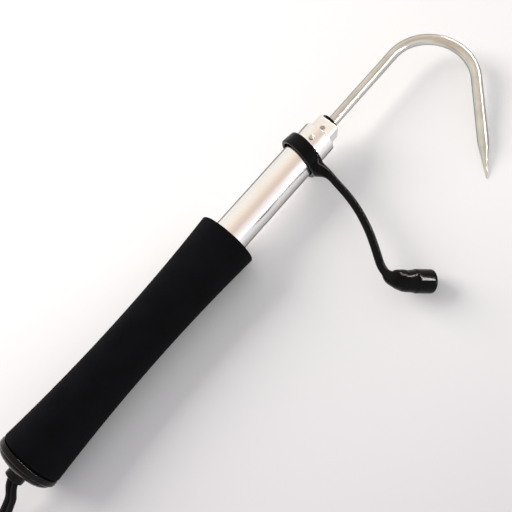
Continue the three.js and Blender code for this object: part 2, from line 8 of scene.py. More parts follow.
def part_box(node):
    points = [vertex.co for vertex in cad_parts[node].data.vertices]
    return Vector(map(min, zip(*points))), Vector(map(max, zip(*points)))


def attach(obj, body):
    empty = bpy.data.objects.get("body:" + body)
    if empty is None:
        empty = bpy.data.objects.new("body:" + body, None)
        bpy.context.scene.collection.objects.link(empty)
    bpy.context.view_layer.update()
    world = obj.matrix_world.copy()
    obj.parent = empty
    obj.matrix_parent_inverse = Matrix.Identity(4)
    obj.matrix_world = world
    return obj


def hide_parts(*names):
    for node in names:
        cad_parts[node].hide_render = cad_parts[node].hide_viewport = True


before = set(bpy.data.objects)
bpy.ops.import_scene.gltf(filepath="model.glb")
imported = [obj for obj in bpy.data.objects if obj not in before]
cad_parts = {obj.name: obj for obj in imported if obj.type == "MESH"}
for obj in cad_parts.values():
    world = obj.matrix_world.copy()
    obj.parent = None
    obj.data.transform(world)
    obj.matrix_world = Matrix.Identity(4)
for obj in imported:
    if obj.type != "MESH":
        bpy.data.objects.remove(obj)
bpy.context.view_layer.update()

# Where the pole lies. The gaff is made in millimetres from the butt face of its grip, with the
# pole's axis along X, and each finished mesh is then set at its place in the frame, in metres.
MM = 0.001
TUBE_START = 0.2
tube_low, tube_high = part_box("outer_tube")
BUTT = tube_low.x - TUBE_START * MM
POLE_Y = (tube_low.y + tube_high.y) / 2
POLE_Z = (tube_low.z + tube_high.z) / 2
TO_FRAME = Matrix.Translation((BUTT, POLE_Y, POLE_Z)) @ Matrix.Scale(MM, 4)


# Camera. It looks down on the gaff from the hook's side, with the hook at the upper right and
# the butt running out of the lower left corner.
FOCAL_LENGTH = 47.46
SENSOR = 36.0
camera_axes = Matrix(((0.64957, 0.73890, -0.17911),
                      (-0.72990, 0.54010, -0.41897),
                      (-0.21284, 0.40288, 0.89016)))
camera_place = TO_FRAME @ Vector((81.6, -157.74, 296.67))
camera_data = bpy.data.cameras.new("camera")
camera_data.lens = FOCAL_LENGTH
camera_data.sensor_width = SENSOR
camera_data.clip_start = 0.01
camera = bpy.data.objects.new("camera", camera_data)
camera.matrix_world = Matrix.LocRotScale(camera_place, camera_axes.to_quaternion(), None)
bpy.context.scene.collection.objects.link(camera)
bpy.context.scene.camera = camera
bpy.context.scene.view_settings.view_transform = "Standard"


# Floor. A plain pale tabletop with painted shade: its colour goes from white where the light falls
# to a cool grey towards the butt. It is a matt laminate, so it takes only soft shadows. To the camera
# and in the gaff's gloss it glows a little, a painted light that grows far from the gaff, so that it
# goes over into the white of the background.
FLOOR_SIZE = 4.0
LIFT_NEAR, LIFT_FAR = 0.10, 1.0
LIFT_FROM, LIFT_TO = 0.35, 1.1
SHADED_END, LIT_END = -0.24, 0.05


def linear(code):
    """The linear colour, with alpha, of an sRGB hex value."""
    parts = [int(code[i:i + 2], 16) / 255 for i in (1, 3, 5)]
    return [p / 12.92 if p <= 0.04045 else ((p + 0.055) / 1.055) ** 2.4 for p in parts] + [1.0]


def add_node(tree, kind, inputs=None, stops=(), **settings):
    """Adds a node with its settings and any colour stops, and sets or links its inputs."""
    node = tree.nodes.new(kind)
    for name, value in settings.items():
        setattr(node, name, value)
    for i, (place, code) in enumerate(stops):
        element = node.color_ramp.elements[i] if i < 2 else node.color_ramp.elements.new(place)
        element.position = place
        element.color = linear(code)
    for name, value in (inputs or {}).items():
        if isinstance(value, bpy.types.NodeSocket):
            tree.links.new(value, node.inputs[name])
        else:
            node.inputs[name].default_value = value
    return node


def start_material(name, **shader_inputs):
    """A material with a Principled shader, and the Object coordinates that its patterns read."""
    material = bpy.data.materials.new(name)
    material.use_nodes = True
    tree = material.node_tree
    tree.nodes.clear()
    shader = add_node(tree, "ShaderNodeBsdfPrincipled",
                      {key.replace("_", " "): value for key, value in shader_inputs.items()})
    add_node(tree, "ShaderNodeOutputMaterial", {"Surface": shader.outputs["BSDF"]})
    where = add_node(tree, "ShaderNodeTexCoord").outputs["Object"]
    return material, tree, shader, where


floor_laminate, tree, shader, where = start_material("matt_white_laminate", Roughness=0.9,
                                                     Specular_IOR_Level=0.15)
across = add_node(tree, "ShaderNodeSeparateXYZ", {"Vector": where})
slant = add_node(tree, "ShaderNodeMath", {0: across.outputs["X"], 1: across.outputs["Y"]}).outputs["Value"]
# Painted shade: the floor's colour darkens from white to a cool grey towards the butt
shade_toward_butt = add_node(tree, "ShaderNodeMapRange", {"Value": slant, "From Min": SHADED_END,
                                                  "From Max": LIT_END})
painted_shade = add_node(tree, "ShaderNodeValToRGB", {"Fac": shade_toward_butt.outputs["Result"]},
                 stops=((0.0, "#dcd9de"), (1.0, "#fbfafa")))
tree.links.new(painted_shade.outputs["Color"], shader.inputs["Base Color"])
# Painted light: a glow seen only by camera and glossy rays, stronger far from the gaff
rays = add_node(tree, "ShaderNodeLightPath").outputs
seen = add_node(tree, "ShaderNodeMath", {0: rays["Is Camera Ray"], 1: rays["Is Glossy Ray"]},
                operation="MAXIMUM").outputs["Value"]
distance = add_node(tree, "ShaderNodeVectorMath", {0: where}, operation="LENGTH").outputs["Value"]
whiter = add_node(tree, "ShaderNodeMapRange", {"Value": distance, "From Min": LIFT_FROM, "From Max": LIFT_TO,
                                               "To Min": LIFT_NEAR, "To Max": LIFT_FAR}).outputs["Result"]
painted_glow = add_node(tree, "ShaderNodeMath", {0: seen, 1: whiter}, operation="MULTIPLY")
tree.links.new(painted_glow.outputs["Value"], shader.inputs["Emission Strength"])
shader.inputs["Emission Color"].default_value = linear("#ffffff")
bm = bmesh.new()
bmesh.ops.create_grid(bm, x_segments=1, y_segments=1, size=FLOOR_SIZE / 2)
floor_mesh = bpy.data.meshes.new("floor")
bm.to_mesh(floor_mesh)
bm.free()
floor_mesh.materials.append(floor_laminate)
floor = bpy.data.objects.new("floor", floor_mesh)
bpy.context.scene.collection.objects.link(floor)


# Light. A broad low window to the left of the picture lights the table, in a bright pale room.
# The metal and the gloss also show the room's warm middle, one long strip lamp to the right and
# a small low pane beyond the hook's side.
WINDOW_TOWARD = (-0.30, 0.95, 0.60)
WINDOW_SIZE = 0.8
WINDOW_AWAY = 1.1
WINDOW_POWER = 15.0
STRIP_ENDS = ((0.54, -0.86, 0.53), (1.0, 0.25, 0.45))
STRIP_WIDTH = 0.02
STRIP_POWER = 11.0
PANE_TOWARD = (0.36, -0.91, 0.17)
PANE_SIZE = (0.22, 0.07)
PANE_AWAY = 1.2
PANE_POWER = 2.4
ROOM_LIGHT = 0.56
scene_middle = TO_FRAME @ Vector((150, -20, 0))


def area_light(name, centre, along, length, width, power, colour):
    """A lamp with its long side along a direction, which faces the middle of the gaff."""
    data = bpy.data.lights.new(name, "AREA")
    data.shape = "RECTANGLE"
    data.size = length
    data.size_y = width
    data.energy = power
    data.color = linear(colour)[:3]
    lamp = bpy.data.objects.new(name, data)
    back = Vector(centre).normalized()
    side = (Vector(along) - back * back.dot(Vector(along))).normalized()
    turn = Matrix((side, back.cross(side), back)).transposed()
    lamp.matrix_world = Matrix.LocRotScale(scene_middle + Vector(centre), turn.to_quaternion(), None)
    bpy.context.scene.collection.objects.link(lamp)
    return lamp


window = area_light("window", Vector(WINDOW_TOWARD) * WINDOW_AWAY, (1, 0, 0), WINDOW_SIZE, WINDOW_SIZE,
                    WINDOW_POWER, "#fffaf5")
window.visible_glossy = False
start, end = (Vector(point) for point in STRIP_ENDS)
strip = area_light("strip", (start + end) / 2, end - start, (end - start).length, STRIP_WIDTH,
                   STRIP_POWER, "#ffffff")
strip.visible_diffuse = False
pane = area_light("pane", Vector(PANE_TOWARD) * PANE_AWAY, (1, 0, 0), *PANE_SIZE, PANE_POWER, "#f4f2ff")
pane.visible_diffuse = False
world = bpy.data.worlds.new("pale_room")
bpy.context.scene.world = world
world.use_nodes = True
tree = world.node_tree
tree.nodes.clear()
path = add_node(tree, "ShaderNodeLightPath").outputs
toward = add_node(tree, "ShaderNodeTexCoord").outputs["Generated"]
toward_y = add_node(tree, "ShaderNodeSeparateXYZ", {"Vector": toward}).outputs["Y"]
across_room = add_node(tree, "ShaderNodeMapRange", {"Value": toward_y, "From Min": -1.0, "From Max": 1.0})
room = add_node(tree, "ShaderNodeValToRGB", {"Fac": across_room.outputs["Result"]},
                stops=((0.0, "#faf4f8"), (0.06, "#fdf6f8"), (0.13, "#f7ece5"), (0.2, "#e9d8cd"),
                       (0.28, "#e1cfc0"), (0.46, "#efdece"), (0.56, "#fae9da"), (0.65, "#fef1e1"),
                       (0.83, "#fffbf2"))).outputs["Color"]
light = add_node(tree, "ShaderNodeBackground", {"Color": linear("#f6f5f6"), "Strength": ROOM_LIGHT})
shown = add_node(tree, "ShaderNodeBackground", {"Color": room, "Strength": 1.0})
sky = add_node(tree, "ShaderNodeBackground", {"Color": linear("#ffffff"), "Strength": 1.0})
shiny = add_node(tree, "ShaderNodeMath", {0: path["Is Glossy Ray"], 1: path["Is Transmission Ray"]},
                 operation="MAXIMUM")
mix = add_node(tree, "ShaderNodeMixShader", {"Fac": shiny.outputs["Value"]})
tree.links.new(light.outputs["Background"], mix.inputs[1])
tree.links.new(shown.outputs["Background"], mix.inputs[2])
last = add_node(tree, "ShaderNodeMixShader", {"Fac": path["Is Camera Ray"]})
tree.links.new(mix.outputs["Shader"], last.inputs[1])
tree.links.new(sky.outputs["Background"], last.inputs[2])
add_node(tree, "ShaderNodeOutputWorld", {"Surface": last.outputs["Shader"]})


# Outer tube. The largest of three aluminium tubes, drawn, polished and clear anodised. Its
# mouth is rolled in to guide the middle tube, and two rivets near it stop that tube's lock.
WALL = 0.9
OUTER_RADIUS = 9.5
MIDDLE_RADIUS = 7.95
SLIDING_FIT = 0.3
TUBE_EDGE = 0.3
LIP_LENGTH = 3.0
LIP_RUN = 1.0
MOUTH = 212.7
TURN_STEPS = 128
# Painted shade: a dark specular tint, far below bare aluminium's, darkens the tubes' reflections at their
# edges
SHADED_EDGE_TINT = "#5c5a58"


def spin_profile(profile, steps=TURN_STEPS):
    """Spins an outline of (x, radius) points about the pole's axis. One that starts off the axis
    closes on itself."""
    bm = bmesh.new()
    verts = [bm.verts.new((x, radius, 0)) for x, radius in profile]
    pairs = list(zip(verts, verts[1:]))
    if profile[0][1] > 0:
        pairs.append((verts[-1], verts[0]))
    edges = [bm.edges.new(pair) for pair in pairs]
    bmesh.ops.spin(bm, geom=verts + edges, cent=(0, 0, 0), axis=(1, 0, 0), angle=2 * math.pi,
                   steps=steps, use_merge=True)
    bmesh.ops.remove_doubles(bm, verts=bm.verts, dist=1e-4)
    bmesh.ops.recalc_face_normals(bm, faces=bm.faces)
    return bm


def round_edges(bm, offset, segments=3, sharper_than=35, among=None):
    """Bevels the edges that are sharper than an angle, or those of them that a test picks."""
    sharp = [edge for edge in bm.edges if len(edge.link_faces) == 2
             and edge.calc_face_angle() > math.radians(sharper_than) and (among is None or among(edge))]
    bmesh.ops.bevel(bm, geom=sharp, offset=offset, offset_type="OFFSET", affect="EDGES",
                    segments=segments, profile=0.5, material=-1)


def finish_piece(bm, name, material, body, nodes, place=TO_FRAME, crease=40):
    """Sets a mesh in the frame as an object, smooth except at its creases, and hands it over."""
    bmesh.ops.transform(bm, matrix=place, verts=bm.verts)
    mesh = bpy.data.meshes.new(name)
    bm.to_mesh(mesh)
    bm.free()
    mesh.materials.append(material)
    mesh.shade_smooth()
    mesh.set_sharp_from_angle(angle=math.radians(crease))
    piece = bpy.data.objects.new(name, mesh)
    bpy.context.scene.collection.objects.link(piece)
    flat_faces = piece.modifiers.new("flat_faces", "WEIGHTED_NORMAL")
    flat_faces.keep_sharp = True
    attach(piece, body)
    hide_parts(*nodes)
    return piece


def tube_outline(start, end, radius, lip_radius):
    """The wall of a tube whose far mouth is rolled in."""
    bore = radius - WALL
    return [(start, bore), (start, radius - TUBE_EDGE), (start + TUBE_EDGE, radius),
            (end - TUBE_EDGE, radius), (end - TUBE_EDGE / 3, radius - TUBE_EDGE / 3),
            (end, radius - TUBE_EDGE), (end, lip_radius), (end - LIP_LENGTH, lip_radius),
            (end - LIP_LENGTH - LIP_RUN, bore)]


def repeats(millimetres):
    """How often a pattern of this size repeats in a metre."""
    return 1000 / millimetres


def drawn_aluminium(name, colour, roughness, grain):
    """Drawn tube: fine lines run along it, a little duller in the lines than between them. They
    are drawn coarser than the real ones, so that they show."""
    # The dark specular tint paints shade along the tube's edges
    material, tree, shader, where = start_material(name, Metallic=1.0,
                                                   Specular_Tint=linear(SHADED_EDGE_TINT))
    along = add_node(tree, "ShaderNodeMapping", {"Vector": where, "Scale": (0.02, 1.0, 1.0)})
    lines = add_node(tree, "ShaderNodeTexNoise", {"Vector": along.outputs["Vector"],
                                                  "Scale": repeats(0.35), "Detail": 4.0})
    cloud = add_node(tree, "ShaderNodeTexNoise", {"Vector": where, "Scale": repeats(18), "Detail": 2.0})
    gloss = add_node(tree, "ShaderNodeMapRange", {"Value": lines.outputs["Fac"], "From Min": 0.3,
                                                  "From Max": 0.7, "To Min": roughness - grain,
                                                  "To Max": roughness + grain})
    tree.links.new(gloss.outputs["Result"], shader.inputs["Roughness"])
    tone = add_node(tree, "ShaderNodeMix", {0: cloud.outputs["Fac"], 6: linear(colour[0]),
                                            7: linear(colour[1])}, data_type="RGBA")
    tree.links.new(tone.outputs[2], shader.inputs["Base Color"])
    bump = add_node(tree, "ShaderNodeBump", {"Height": lines.outputs["Fac"], "Strength": 0.02,
                                             "Distance": 0.02 * MM})
    tree.links.new(bump.outputs["Normal"], shader.inputs["Normal"])
    return material


polished_tube = drawn_aluminium("polished_clear_anodised_aluminium", ("#f3f1f0", "#f9f8f8"), 0.16, 0.04)
bm = spin_profile(tube_outline(TUBE_START, MOUTH, OUTER_RADIUS, MIDDLE_RADIUS + SLIDING_FIT))
finish_piece(bm, "outer_tube_skin", polished_tube, "handle", ["outer_tube"])


# Grip. A sleeve of closed-cell EVA foam, turned to a waist between two full ends and pulled
# over the tube. The ground foam is dead matt, with an open grain that is drawn a little coarse,
# so that it shows.
GRIP_LENGTH = 140.0
GRIP_END = TUBE_START + GRIP_LENGTH
GRIP_END_RADIUS = 16.4
GRIP_WAIST_RADIUS = 13.8
GRIP_CORNER = 1.2
GRIP_STEPS = 40
SEATED_FIT = 0.2
ground_foam, tree, shader, where = start_material("ground_eva_foam", Roughness=0.92,
                                                  Specular_IOR_Level=0.08)
cells = add_node(tree, "ShaderNodeTexVoronoi", {"Vector": where, "Scale": repeats(0.45)})
cloud = add_node(tree, "ShaderNodeTexNoise", {"Vector": where, "Scale": repeats(14), "Detail": 5.0})
pores = add_node(tree, "ShaderNodeTexNoise", {"Vector": where, "Scale": repeats(0.9), "Detail": 6.0})
tone = add_node(tree, "ShaderNodeValToRGB", {"Fac": cloud.outputs["Fac"]},
                stops=((0.3, "#07070a"), (0.7, "#0f1014")))
tree.links.new(tone.outputs["Color"], shader.inputs["Base Color"])
height = add_node(tree, "ShaderNodeMath", {0: cells.outputs["Distance"], 1: pores.outputs["Fac"]})
bump = add_node(tree, "ShaderNodeBump", {"Height": height.outputs["Value"], "Strength": 0.35,
                                         "Distance": 0.12 * MM})
tree.links.new(bump.outputs["Normal"], shader.inputs["Normal"])
half = GRIP_LENGTH / 2
grip_bore = OUTER_RADIUS + SEATED_FIT
outline = [(TUBE_START, grip_bore), (TUBE_START, GRIP_END_RADIUS)]
for step in range(1, GRIP_STEPS):
    off = -half + GRIP_LENGTH * step / GRIP_STEPS
    outline.append((TUBE_START + half + off,
                    GRIP_WAIST_RADIUS + (GRIP_END_RADIUS - GRIP_WAIST_RADIUS) * (off / half) ** 2))
outline += [(GRIP_END, GRIP_END_RADIUS), (GRIP_END, grip_bore)]
bm = spin_profile(outline)
round_edges(bm, GRIP_CORNER, segments=6,
            among=lambda edge: max(v.co.yz.length for v in edge.verts) > GRIP_END_RADIUS - 1)
finish_piece(bm, "foam_sleeve", ground_foam, "handle", ["foam_grip"])


# Butt cap. One glossy black moulding pressed into the tube: a rounded lip as wide as the grip,
# a shallow dome and a boss with the lanyard's hole. Its spigot is hollow for the knot.
CAP_SPIGOT = 18.0
CAP_SPIGOT_RADIUS = 8.4
CAP_CAVITY_RADIUS = 6.3
CAP_LIP_RADIUS = 16.4
CAP_LIP_WIDTH = 3.4
CAP_LIP_ROUND = 1.2
CAP_LIP_FRONT = 0.9
CAP_DOME_DEPTH = 7.4
CAP_BOSS_END = -12.0
CAP_BOSS_RADIUS = 4.9
CAP_BOSS_ROUND = 0.6
CAP_BOSS_FILLET = 0.9
CAP_HOLE_RADIUS = 3.6
CAP_HOLE_EDGE = 0.3
CAP_FLOOR = -2.5
DOME_STEPS = 12


def moulded_black(name, roughness, peel, wear, shine):
    """Black rubber or plastic from a polished mould: even gloss with a slight orange peel."""
    material, tree, shader, where = start_material(name, Specular_IOR_Level=shine)
    skin = add_node(tree, "ShaderNodeTexNoise", {"Vector": where, "Scale": repeats(peel), "Detail": 3.0})
    dust = add_node(tree, "ShaderNodeTexNoise", {"Vector": where, "Scale": repeats(6.0), "Detail": 6.0})
    gloss = add_node(tree, "ShaderNodeMapRange", {"Value": dust.outputs["Fac"], "From Min": 0.35,
                                                  "From Max": 0.7, "To Min": roughness,
                                                  "To Max": roughness + wear})
    tree.links.new(gloss.outputs["Result"], shader.inputs["Roughness"])
    tone = add_node(tree, "ShaderNodeValToRGB", {"Fac": dust.outputs["Fac"]},
                    stops=((0.3, "#050507"), (0.75, "#0b0b0e")))
    tree.links.new(tone.outputs["Color"], shader.inputs["Base Color"])
    bump = add_node(tree, "ShaderNodeBump", {"Height": skin.outputs["Fac"], "Strength": 0.05,
                                             "Distance": 0.05 * MM})
    tree.links.new(bump.outputs["Normal"], shader.inputs["Normal"])
    return material


def quarter_round(x, radius, bend, start, end, steps=6):
    """Points of an arc about (x, radius), from one angle to another."""
    angles = [math.radians(start + (end - start) * step / steps) for step in range(steps + 1)]
    return [(x + bend * math.cos(angle), radius + bend * math.sin(angle)) for angle in angles]


cap_plastic = moulded_black("moulded_gloss_plastic", 0.16, 1.2, 0.1, 0.16)
dome_rim = CAP_LIP_RADIUS - CAP_LIP_ROUND
outline = [(CAP_FLOOR, CAP_CAVITY_RADIUS), (CAP_FLOOR, CAP_HOLE_RADIUS),
           (CAP_BOSS_END + CAP_HOLE_EDGE, CAP_HOLE_RADIUS), (CAP_BOSS_END, CAP_HOLE_RADIUS + CAP_HOLE_EDGE)]
outline += quarter_round(CAP_BOSS_END + CAP_BOSS_ROUND, CAP_BOSS_RADIUS - CAP_BOSS_ROUND,
                         CAP_BOSS_ROUND, 180, 90)
outline += quarter_round(-CAP_DOME_DEPTH - CAP_BOSS_FILLET, CAP_BOSS_RADIUS + CAP_BOSS_FILLET,
                         CAP_BOSS_FILLET, 270, 350)
for step in range(1, DOME_STEPS + 1):
    angle = math.pi / 2 * (1 - step / DOME_STEPS)
    outline.append((-CAP_LIP_WIDTH - (CAP_DOME_DEPTH - CAP_LIP_WIDTH) * math.sin(angle),
                    CAP_BOSS_RADIUS + (dome_rim - CAP_BOSS_RADIUS) * math.cos(angle)))
outline += quarter_round(-CAP_LIP_WIDTH + CAP_LIP_ROUND, dome_rim, CAP_LIP_ROUND, 180, 90)
outline += quarter_round(-CAP_LIP_FRONT, CAP_LIP_RADIUS - CAP_LIP_FRONT, CAP_LIP_FRONT, 90, 0)
outline += [(0.0, CAP_SPIGOT_RADIUS), (CAP_SPIGOT, CAP_SPIGOT_RADIUS), (CAP_SPIGOT, CAP_CAVITY_RADIUS)]
bm = spin_profile(outline)
finish_piece(bm, "butt_cap_moulding", cap_plastic, "handle", ["butt_cap"], crease=50)


# Lanyard. A 3 mm braided polyester cord, doubled: both ends pass through the butt cap's boss to
# a stopper knot, and the wrist loop droops to the table and lies there.
CORD_DIAMETER = 0.003
CORD_SIDES = 16
CORD_STEPS = 420
SPLINE_STEPS = 24
BRAID_PITCH = 2.2
BRAID_LEAN = 0.78
BRAID_STRANDS = 4
cord_route = [
    (-0.0029, 0.00172, 0.0164), (-0.007, 0.00172, 0.0164), (-0.0115, 0.00164, 0.0163),
    (-0.0154, 0.00035, 0.015), (-0.0195, -0.0018, 0.0122), (-0.0242, -0.0023, 0.0093),
    (-0.0292, -0.0025, 0.0066), (-0.036, -0.003, 0.0036), (-0.0455, -0.0052, 0.002),
    (-0.0599, -0.0086, 0.0017), (-0.0763, -0.016, 0.0017), (-0.0915, -0.0273, 0.0017),
    (-0.1026, -0.0431, 0.0017), (-0.1073, -0.0623, 0.0017), (-0.1038, -0.0821, 0.0017),
    (-0.0915, -0.0973, 0.0017), (-0.0733, -0.1047, 0.0017), (-0.0552, -0.1018, 0.0017),
    (-0.0418, -0.0911, 0.0017), (-0.0341, -0.0758, 0.0017), (-0.0312, -0.0595, 0.0017),
    (-0.0318, -0.0436, 0.0017), (-0.0348, -0.028, 0.0017), (-0.0366, -0.019, 0.0018),
    (-0.0348, -0.0122, 0.003), (-0.0314, -0.0082, 0.005), (-0.0274, -0.0063, 0.0074),
    (-0.0235, -0.0056, 0.0097), (-0.0192, -0.005, 0.0122), (-0.0152, -0.0031, 0.015),
    (-0.0115, -0.00178, 0.0163), (-0.007, -0.00172, 0.0164), (-0.0029, -0.00172, 0.0164),
]
surface = Vector((BUTT, POLE_Y, POLE_Z - GRIP_END_RADIUS * MM))


def smooth_route(points, count):
    """Evenly spaced places along a centripetal spline through the points, the way on at each
    place, and the length."""
    ends = [points[0] * 2 - points[1]] + points + [points[-1] * 2 - points[-2]]
    dense = []
    for p0, p1, p2, p3 in zip(ends, ends[1:], ends[2:], ends[3:]):
        g = [max((b - a).length ** 0.5, 1e-6) for a, b in ((p0, p1), (p1, p2), (p2, p3))]
        leave = ((p1 - p0) / g[0] - (p2 - p0) / (g[0] + g[1]) + (p2 - p1) / g[1]) * g[1]
        arrive = ((p2 - p1) / g[1] - (p3 - p1) / (g[1] + g[2]) + (p3 - p2) / g[2]) * g[1]
        for step in range(SPLINE_STEPS):
            t = step / SPLINE_STEPS
            dense.append(p1 * (2 * t ** 3 - 3 * t ** 2 + 1) + leave * (t ** 3 - 2 * t ** 2 + t)
                         + p2 * (3 * t ** 2 - 2 * t ** 3) + arrive * (t ** 3 - t ** 2))
    dense.append(points[-1])
    travelled = [0.0]
    for a, b in zip(dense, dense[1:]):
        travelled.append(travelled[-1] + (b - a).length)
    places, i = [], 0
    for step in range(count + 1):
        target = travelled[-1] * step / count
        while i < len(dense) - 2 and travelled[i + 1] < target:
            i += 1
        share = (target - travelled[i]) / (travelled[i + 1] - travelled[i])
        places.append(dense[i].lerp(dense[i + 1], share))
    ways = [(b - a).normalized() for a, b in
            zip([places[0]] + places[:-1], places[1:] + [places[-1]])]
    return places, ways, travelled[-1]


def sweep_ring(bm, ring, matrices):
    """Extrudes a ring of edges, carried by each matrix in turn, and closes both ends."""
    ring_verts = list({v: None for edge in ring for v in edge.verts})
    shape = [v.co.copy() for v in ring_verts]
    first = list(ring)
    for v, co in zip(ring_verts, shape):
        v.co = matrices[0] @ co
    for matrix in matrices[1:]:
        made = bmesh.ops.extrude_edge_only(bm, edges=ring)["geom"]
        ring = [item for item in made if isinstance(item, bmesh.types.BMEdge)]
        new_verts = [item for item in made if isinstance(item, bmesh.types.BMVert)]
        for v, co in zip(new_verts, shape):
            v.co = matrix @ co
    bmesh.ops.holes_fill(bm, edges=first + ring)
    bmesh.ops.recalc_face_normals(bm, faces=bm.faces)


def section_at(place, way, width=1.0, height=1.0):
    """The matrix of a section at a place on a route: its width lies level, and it faces along the way."""
    side = Vector((0, 0, 1)).cross(way).normalized()
    axes = Matrix((side, way.cross(side), way)).transposed().to_4x4()
    return Matrix.Translation(place) @ axes @ Matrix.Diagonal((width, height, 1.0, 1.0))


def circle_edges(bm, radius, segments):
    """A ring of edges about the origin, facing along Z."""
    ring = bmesh.ops.create_circle(bm, segments=segments, radius=radius)["verts"]
    return list({edge: None for v in ring for edge in v.link_edges})


# Woven polyester is dull and near black, with a fine rib where the strands cross. Its colour is painted
# darker in the grooves between the ribs, as shade.
braided_cord, tree, shader, where = start_material(
    "braided_polyester", Roughness=0.8, Specular_IOR_Level=0.2, Sheen_Weight=0.05)
braid_uv = add_node(tree, "ShaderNodeUVMap", uv_map="braid").outputs["UV"]
ribs = []
for side in (1, -1):
    lean = add_node(tree, "ShaderNodeMapping", {"Vector": braid_uv, "Rotation": (0, 0, side * BRAID_LEAN)})
    ribs.append(add_node(tree, "ShaderNodeTexWave", {"Vector": lean.outputs["Vector"], "Scale": 1.0},
                         wave_type="BANDS", bands_direction="X").outputs["Fac"])
braid = add_node(tree, "ShaderNodeMath", {0: ribs[0], 1: ribs[1]}, operation="MULTIPLY")
# Painted shade: the colour follows the ribs' height, darkest in the grooves
tone = add_node(tree, "ShaderNodeValToRGB", {"Fac": braid.outputs["Value"]},
                stops=((0.0, "#050506"), (1.0, "#131316")))
tree.links.new(tone.outputs["Color"], shader.inputs["Base Color"])
bump = add_node(tree, "ShaderNodeBump", {"Height": braid.outputs["Value"], "Strength": 0.5,
                                         "Distance": 0.15 * MM})
tree.links.new(bump.outputs["Normal"], shader.inputs["Normal"])

places, ways, cord_length = smooth_route([surface + Vector(point) for point in cord_route], CORD_STEPS)
bm = bmesh.new()
sweep_ring(bm, circle_edges(bm, CORD_DIAMETER / 2, CORD_SIDES),
           [section_at(place, way) for place, way in zip(places, ways)])
braid_layer = bm.loops.layers.uv.new("braid")
bm.verts.index_update()
for face in bm.faces:
    cells = [loop.vert.index % CORD_SIDES for loop in face.loops]
    wraps = max(cells) - min(cells) > CORD_SIDES / 2
    for loop, cell in zip(face.loops, cells):
        around = cell + CORD_SIDES if wraps and cell < CORD_SIDES / 2 else cell
        row = loop.vert.index // CORD_SIDES
        loop[braid_layer].uv = (around * BRAID_STRANDS / CORD_SIDES,
                                row * cord_length / CORD_STEPS / (BRAID_PITCH * MM))
cord = finish_piece(bm, "lanyard_cord", braided_cord, "handle", ["lanyard"],
                    place=Matrix.Identity(4))

# Its stopper knot is drawn up hard against the cap's floor: three fat turns of the same cord
KNOT_START = 1.7
KNOT_PITCH = 2.91
KNOT_RADIUS = 4.0
KNOT_TURNS = 3
KNOT_TURN_STEPS = 28
KNOT_CORD_SIDES = 12
coil = []
for step in range(KNOT_TURNS * KNOT_TURN_STEPS + 1):
    turned = step / KNOT_TURN_STEPS
    angle = 2 * math.pi * turned
    coil.append(Vector((KNOT_START + KNOT_PITCH * turned,
                        KNOT_RADIUS * math.cos(angle), KNOT_RADIUS * math.sin(angle))))
bm = bmesh.new()
knot_ways = [(b - a).normalized() for a, b in zip([coil[0]] + coil[:-1], coil[1:] + [coil[-1]])]
turns = []
for place, way in zip(coil, knot_ways):
    side = Vector((1, 0, 0)).cross(way).normalized()
    axes = Matrix((side, way.cross(side), way)).transposed().to_4x4()
    turns.append(Matrix.Translation(place) @ axes)
sweep_ring(bm, circle_edges(bm, CORD_DIAMETER / 2 / MM, KNOT_CORD_SIDES), turns)
finish_piece(bm, "lanyard_stopper_knot", braided_cord, "handle", ["lanyard_knot"])


# Stop rivets. Two soft zinc-plated rivets on the hook plane's normal, set through the outer
# tube. Their heads are low domes, and their tails stop the middle section's lock.
HOOK_ROLL = math.radians(11.58)
RIVET_PLACE = MOUTH - 6.6
RIVET_RADIUS = 1.1
RIVET_HEAD_RADIUS = 1.6
RIVET_TAIL = 8.25
RIVET_SEAT = 9.55
RIVET_DOME = ((9.55, 1.0), (9.8, 1.0), (10.05, 0.93), (10.3, 0.72), (10.45, 0.4), (10.5, 0.0))


def plated_steel(name, colour, roughness):
    """Zinc plate over steel: bright, slightly clouded and finely pitted."""
    material, tree, shader, where = start_material(name, Metallic=1.0)
    cloud = add_node(tree, "ShaderNodeTexNoise", {"Vector": where, "Scale": repeats(1.4), "Detail": 4.0})
    tone = add_node(tree, "ShaderNodeValToRGB", {"Fac": cloud.outputs["Fac"]},
                    stops=((0.3, colour[0]), (0.7, colour[1])))
    tree.links.new(tone.outputs["Color"], shader.inputs["Base Color"])
    gloss = add_node(tree, "ShaderNodeMapRange", {"Value": cloud.outputs["Fac"],
                                                  "To Min": roughness - 0.08, "To Max": roughness + 0.1})
    tree.links.new(gloss.outputs["Result"], shader.inputs["Roughness"])
    bump = add_node(tree, "ShaderNodeBump", {"Height": cloud.outputs["Fac"], "Strength": 0.1,
                                             "Distance": 0.05 * MM})
    tree.links.new(bump.outputs["Normal"], shader.inputs["Normal"])
    return material


zinc_plate = plated_steel("zinc_plated_steel", ("#b9b6b2", "#dedcd8"), 0.3)
rivet_outline = [(RIVET_TAIL, 0), (RIVET_TAIL, RIVET_RADIUS), (RIVET_SEAT, RIVET_RADIUS)]
rivet_outline += [(height, RIVET_HEAD_RADIUS * share) for height, share in RIVET_DOME]
for side, node in enumerate(("stop_rivet_upper", "stop_rivet_lower")):
    bm = spin_profile(rivet_outline, steps=40)
    turn = (Matrix.Translation((RIVET_PLACE, 0, 0))
            @ Matrix.Rotation(HOOK_ROLL + side * math.pi, 4, "X") @ Matrix.Rotation(-math.pi / 2, 4, "Y"))
    finish_piece(bm, node + "_head", zinc_plate, "handle", [node], place=TO_FRAME @ turn)


# Middle section. A satin anodised tube that slides in the outer one, with an eccentric twist
# lock of black nylon on its tail. Only the tube shows, once the gaff is drawn out.
MIDDLE_START = 37.4
MIDDLE_END = 205.8
INNER_RADIUS = 6.4
satin_tube = drawn_aluminium("satin_anodised_aluminium", ("#d4d0cc", "#dedbd8"), 0.33, 0.06)
bm = spin_profile(tube_outline(MIDDLE_START, MIDDLE_END, MIDDLE_RADIUS, INNER_RADIUS + SLIDING_FIT))
finish_piece(bm, "middle_tube_skin", satin_tube, "middle_section", ["middle_tube"])

